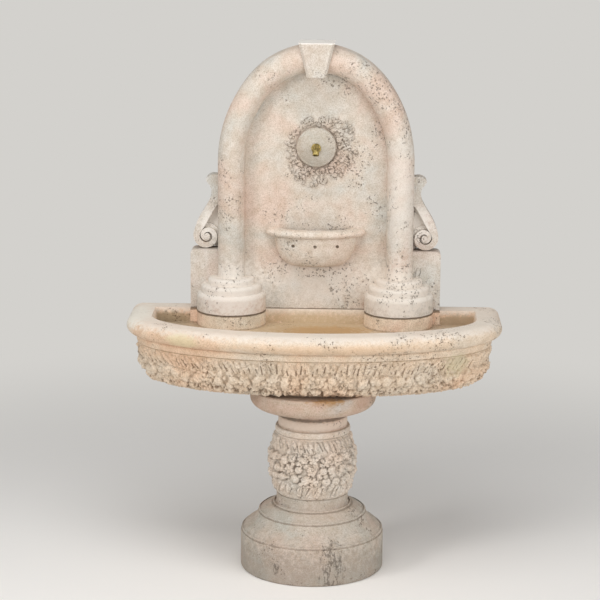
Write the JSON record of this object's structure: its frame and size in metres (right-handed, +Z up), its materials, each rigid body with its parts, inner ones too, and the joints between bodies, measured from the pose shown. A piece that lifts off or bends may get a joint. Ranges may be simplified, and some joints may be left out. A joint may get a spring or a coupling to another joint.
{
  "type": "garden wall fountain",
  "caption": "Cast stone garden wall fountain: turned pedestal, bow-fronted basin with a carved band, arched panel with spout, spill bowl and side scrolls.",
  "frame": {"origin": "on the floor, under the middle of the fountain's width and of its depth from the wall plane to the front of the rim", "axes": "+Z up, +Y towards the wall, +X to the viewer's right; the wall plane is at Y = 0.220 m"},
  "size_m": [1.086, 0.44, 1.514],
  "materials": {
    "pale_cast_stone": "cast stone with travertine pits, matt",
    "warm_cast_stone": "cast stone with travertine pits, warmer tint, matt",
    "spout_brass": "aged brass",
    "fitting_brass": "turned brass",
    "drain_brass": "turned brass",
    "fitting_plastic": "moulded nylon",
    "clear_vinyl": "flexible vinyl tube",
    "black_rubber": "moulded rubber",
    "stainless_steel": "brushed",
    "galvanised_steel": "zinc plated",
    "pump_plastic": "moulded ABS",
    "rotor_plastic": "moulded nylon",
    "dial_plastic": "moulded ABS",
    "shaft_ceramic": "ground"
  },
  "bodies": {
    "root": {"pedestal_foot": "pale_cast_stone", "pedestal_shaft": "pale_cast_stone", "shaft_foliage": "pale_cast_stone", "pedestal_cap": "pale_cast_stone", "back_panel": "pale_cast_stone", "keystone": "pale_cast_stone", "wing_left": "pale_cast_stone", "wing_right": "pale_cast_stone", "scroll_left": "pale_cast_stone", "scroll_right": "pale_cast_stone", "shelf_bowl": "pale_cast_stone", "spout_boss": "pale_cast_stone", "foliage_wreath": "pale_cast_stone", "basin": "warm_cast_stone", "basin_foliage": "warm_cast_stone", "riser_left": "warm_cast_stone", "riser_right": "warm_cast_stone", "spout": "spout_brass", "spout_washer": "black_rubber", "upper_elbow": "fitting_brass", "lower_elbow": "fitting_plastic", "riser_tube": "clear_vinyl", "pump_hose": "clear_vinyl", "hose_grommet": "black_rubber", "hose_clamps": "stainless_steel", "drain_flange": "drain_brass", "drain_gasket": "black_rubber", "drain_locknut": "drain_brass", "pump_housing": "pump_plastic", "volute_cover": "pump_plastic", "rotor_shaft": "shaft_ceramic", "rear_bush": "black_rubber", "suction_cups": "black_rubber", "cord_gland": "black_rubber", "hanger_plates": "galvanised_steel", "hanger_screws": "galvanised_steel"},
    "pump_rotor": {"pump_rotor": "rotor_plastic"},
    "inlet_cover": {"inlet_cover": "pump_plastic"},
    "flow_dial": {"flow_dial": "dial_plastic"},
    "drain_stopper": {"drain_stopper": "black_rubber"}
  },
  "joints": [
    {"name": "rotor_spin", "type": "hinge", "parent": "root", "child": "pump_rotor", "pos_m": [0.075, -0.04, 0.607], "axis": [1, 0, 0], "continuous": true},
    {"name": "inlet_cover_pull", "type": "slide", "parent": "root", "child": "inlet_cover", "axis": [-1, 0, 0], "range_m": [0, 0.025]},
    {"name": "flow_dial_turn", "type": "hinge", "parent": "inlet_cover", "child": "flow_dial", "pos_m": [0.05, -0.04, 0.607], "axis": [-1, 0, 0], "range_deg": [0, 180]},
    {"name": "stopper_lift", "type": "slide", "parent": "root", "child": "drain_stopper", "axis": [0, 0, 1], "range_m": [0, 0.15]}
  ]
}
